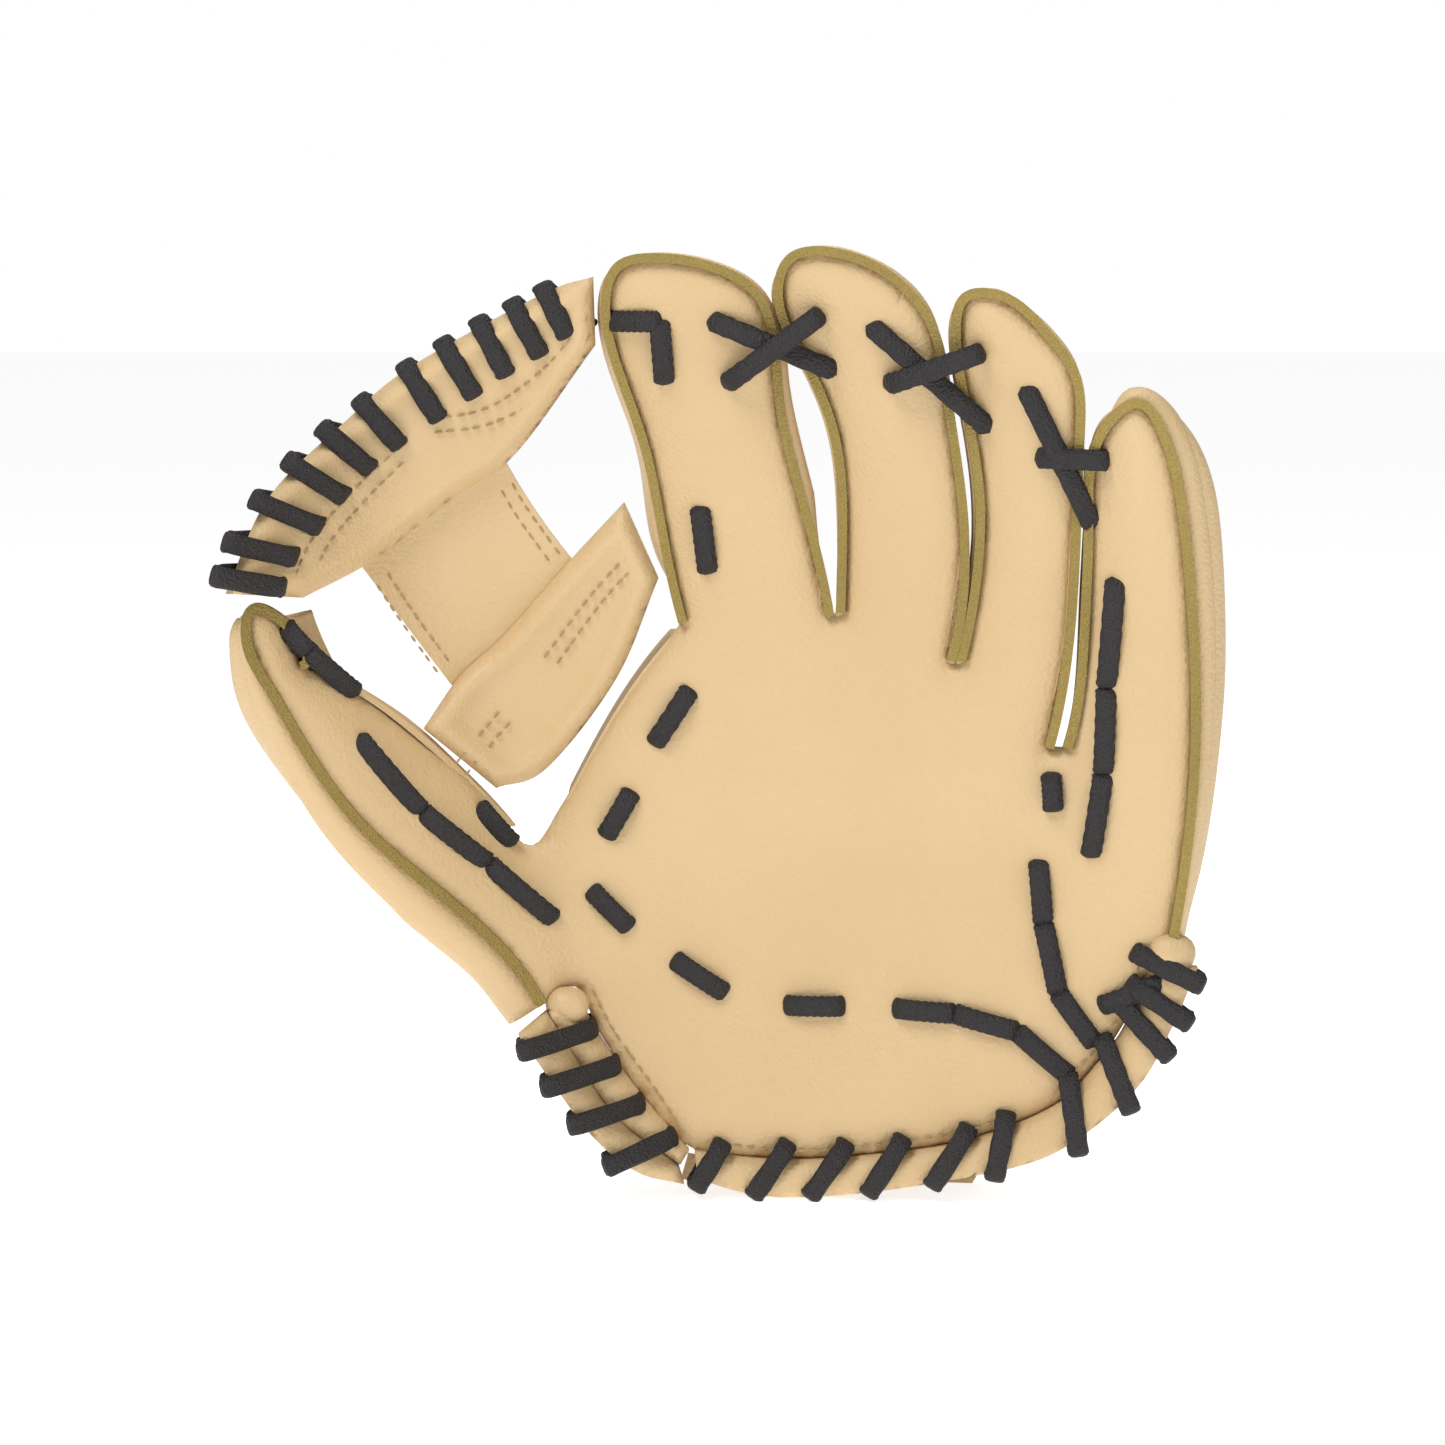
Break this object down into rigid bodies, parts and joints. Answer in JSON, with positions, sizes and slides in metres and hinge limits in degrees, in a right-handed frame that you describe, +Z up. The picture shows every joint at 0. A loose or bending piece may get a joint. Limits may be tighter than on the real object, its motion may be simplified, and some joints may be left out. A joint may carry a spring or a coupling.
{
  "type": "fielding glove",
  "caption": "Left-hand leather fielding glove with separate finger stalls, laced web, piping, laced heel and open back with wrist strap.",
  "frame": {"origin": "bottom centre of the glove's box", "axes": "+X towards the little finger, +Y towards the back of the hand, +Z up towards the fingertips"},
  "size_m": [0.2791, 0.1066, 0.271],
  "materials": {
    "leather_cream": "smooth grained cream leather",
    "welt_gold": "rough gold piping leather",
    "lace_black": "matte black lace",
    "pad_felt": "felt padding",
    "lining": "soft tan lining"
  },
  "bodies": {
    "palm": {"hand_back": "leather_cream", "heel_binding": "leather_cream", "heel_cross_lace": "lace_black", "heel_lace": "lace_black", "index_back": "leather_cream", "index_lace": "lace_black", "index_middle_cross_lace": "lace_black", "index_middle_lace": "lace_black", "index_pad": "pad_felt", "index_palm_lace": "lace_black", "index_tip_lace": "lace_black", "index_welt": "welt_gold", "middle_back": "leather_cream", "middle_pad": "pad_felt", "middle_ring_cross_lace": "lace_black", "middle_ring_lace": "lace_black", "middle_welt": "welt_gold", "palm_lace": "lace_black", "palm_leather": "leather_cream", "palm_liner": "lining", "palm_pad": "pad_felt", "ring_back": "leather_cream", "ring_pad": "pad_felt", "ring_palm_lace": "lace_black", "ring_welt": "welt_gold", "strap_pad": "pad_felt", "web_lower_bar_index": "leather_cream", "web_post": "leather_cream", "web_top_lace_index": "lace_black", "web_top_roll_index": "leather_cream", "wrist_band": "leather_cream", "wrist_roll": "leather_cream", "wrist_strap": "leather_cream"},
    "thumb": {"thumb_back": "leather_cream", "thumb_heel_binding": "leather_cream", "thumb_heel_lace": "lace_black", "thumb_heel_roll": "leather_cream", "thumb_lace": "lace_black", "thumb_leather": "leather_cream", "thumb_liner": "lining", "thumb_pad": "pad_felt", "thumb_tip_lace": "lace_black", "thumb_web_lace": "lace_black", "thumb_welt": "welt_gold", "web_lower_bar_thumb": "leather_cream", "web_top_lace_thumb": "lace_black", "web_top_roll_thumb": "leather_cream"},
    "pinky": {"pinky_back": "leather_cream", "pinky_edge_lace": "lace_black", "pinky_heel_binding": "leather_cream", "pinky_heel_lace": "lace_black", "pinky_lace": "lace_black", "pinky_leather": "leather_cream", "pinky_pad": "pad_felt", "pinky_tip_lace": "lace_black", "pinky_welt": "welt_gold"}
  },
  "joints": [
    {"name": "thumb_fold", "type": "hinge", "parent": "palm", "child": "thumb", "pos_m": [-0.0064, 0.00449, 0.0087], "axis": [-0.3496, -0.0454, 0.9358], "range_deg": [0, 35], "stiffness_Nm_per_rad": 3},
    {"name": "pinky_fold", "type": "hinge", "parent": "palm", "child": "pinky", "pos_m": [0.0869, -0.00372, 0.0193], "axis": [-0.0585, 0.2129, -0.9753], "range_deg": [0, 18], "stiffness_Nm_per_rad": 3}
  ]
}
